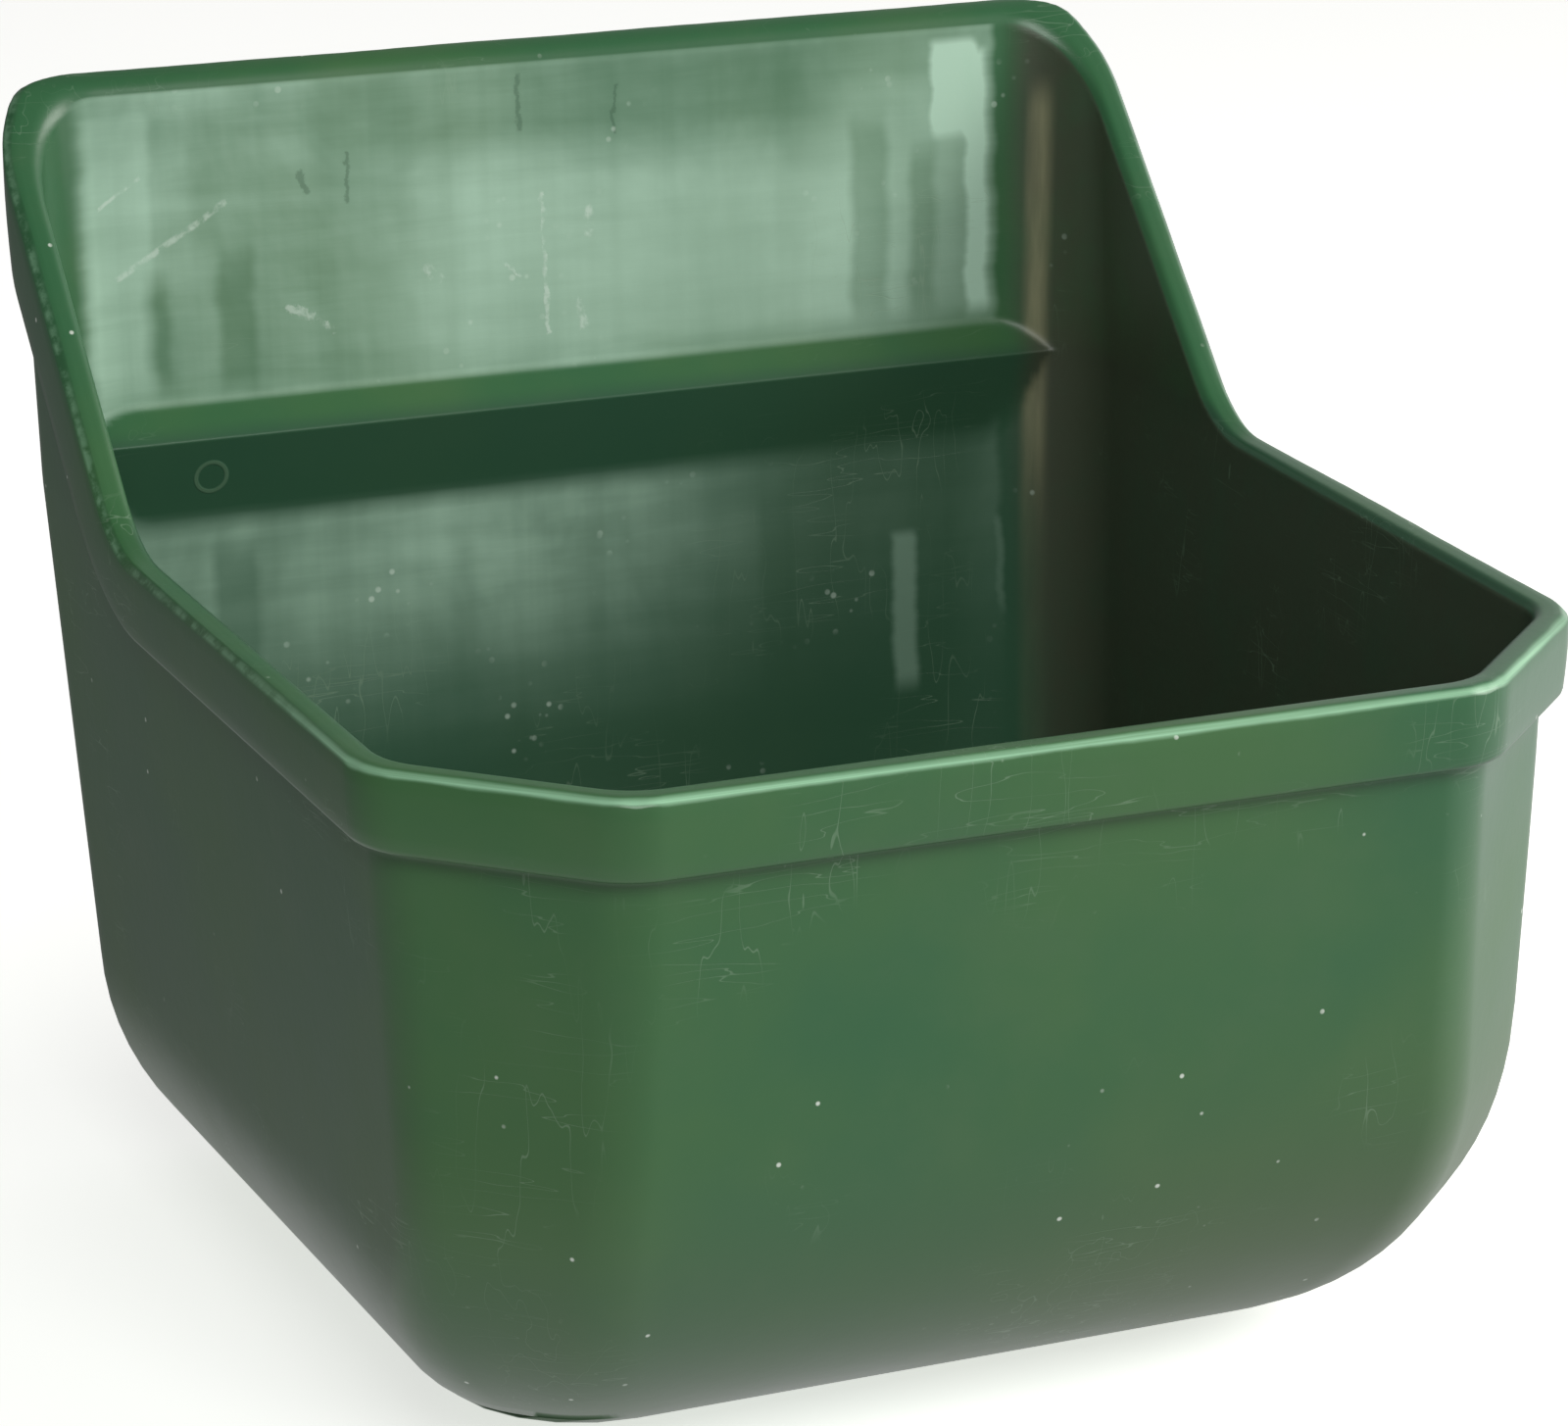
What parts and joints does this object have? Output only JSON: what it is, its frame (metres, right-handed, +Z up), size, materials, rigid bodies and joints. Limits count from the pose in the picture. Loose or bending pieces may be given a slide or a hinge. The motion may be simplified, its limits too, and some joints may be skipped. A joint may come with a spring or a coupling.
{
  "type": "hanging feed bucket",
  "caption": "Moulded feed trough with a high back wall, rolled rim band and hanging rib, and a swinging steel hanger that hooks over a rail or stall board.",
  "frame": {"origin": "centre of the flat base face, on the surface that the bucket stands on", "axes": "+Z up; +Y towards the high back wall and its hanger; +X to the right when seen from the front"},
  "size_m": [0.3156, 0.3564, 0.2944],
  "materials": {
    "trough_plastic": "satin moulded green, scuffed",
    "galvanised_steel": "dull zinc",
    "screw_steel": "bright zinc",
    "cap_vinyl": "dipped black vinyl"
  },
  "bodies": {
    "trough": {"trough": "trough_plastic", "clip_left": "galvanised_steel", "clip_right": "galvanised_steel", "clip_screw_left": "screw_steel", "clip_screw_right": "screw_steel"},
    "hanger": {"hanger_bar": "galvanised_steel", "tip_cap_left": "cap_vinyl", "tip_cap_right": "cap_vinyl"}
  },
  "joints": [
    {"name": "hanger_swing", "type": "hinge", "parent": "trough", "child": "hanger", "pos_m": [0, 0.11811, 0.19626], "axis": [1, 0, 0], "range_deg": [0, 94]}
  ]
}
